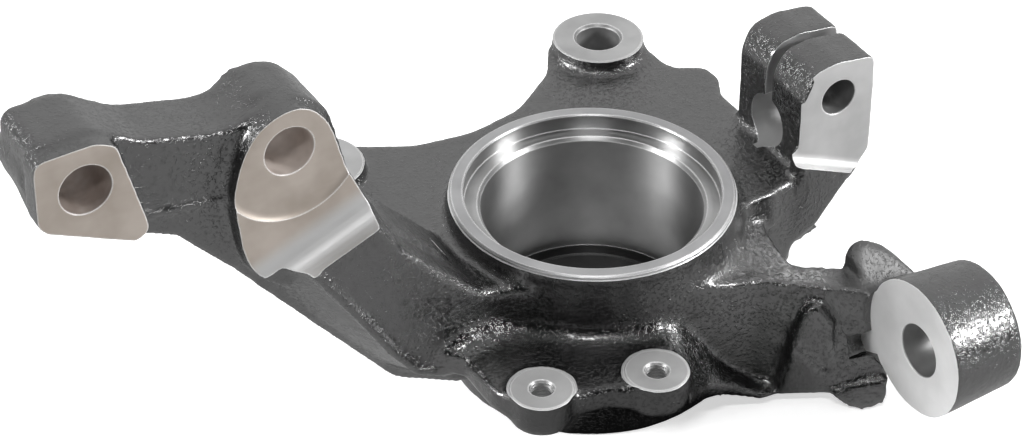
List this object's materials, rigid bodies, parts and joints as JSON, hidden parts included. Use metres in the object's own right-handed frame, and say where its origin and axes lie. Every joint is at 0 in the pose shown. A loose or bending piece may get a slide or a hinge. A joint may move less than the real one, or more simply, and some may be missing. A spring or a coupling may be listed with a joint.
{
  "type": "steering knuckle",
  "caption": "Cast-iron steering knuckle with a bored hub, strut lugs, a slit ball-joint clamp, caliper lugs and a track-rod arm.",
  "frame": {"origin": "on the hub axis, halfway between the hub's machined ring face and the bearing shoulder", "axes": "+Z along the hub axis toward the face the bearing is pressed in from, +X from the strut lugs toward the ball-joint clamp, +Y toward the caliper lugs"},
  "size_m": [0.2876, 0.2056, 0.1511],
  "materials": {
    "cast_iron": "black satin cast skin, machined faces bare"
  },
  "bodies": {
    "root": {"steering_knuckle": "cast_iron"}
  },
  "joints": []
}
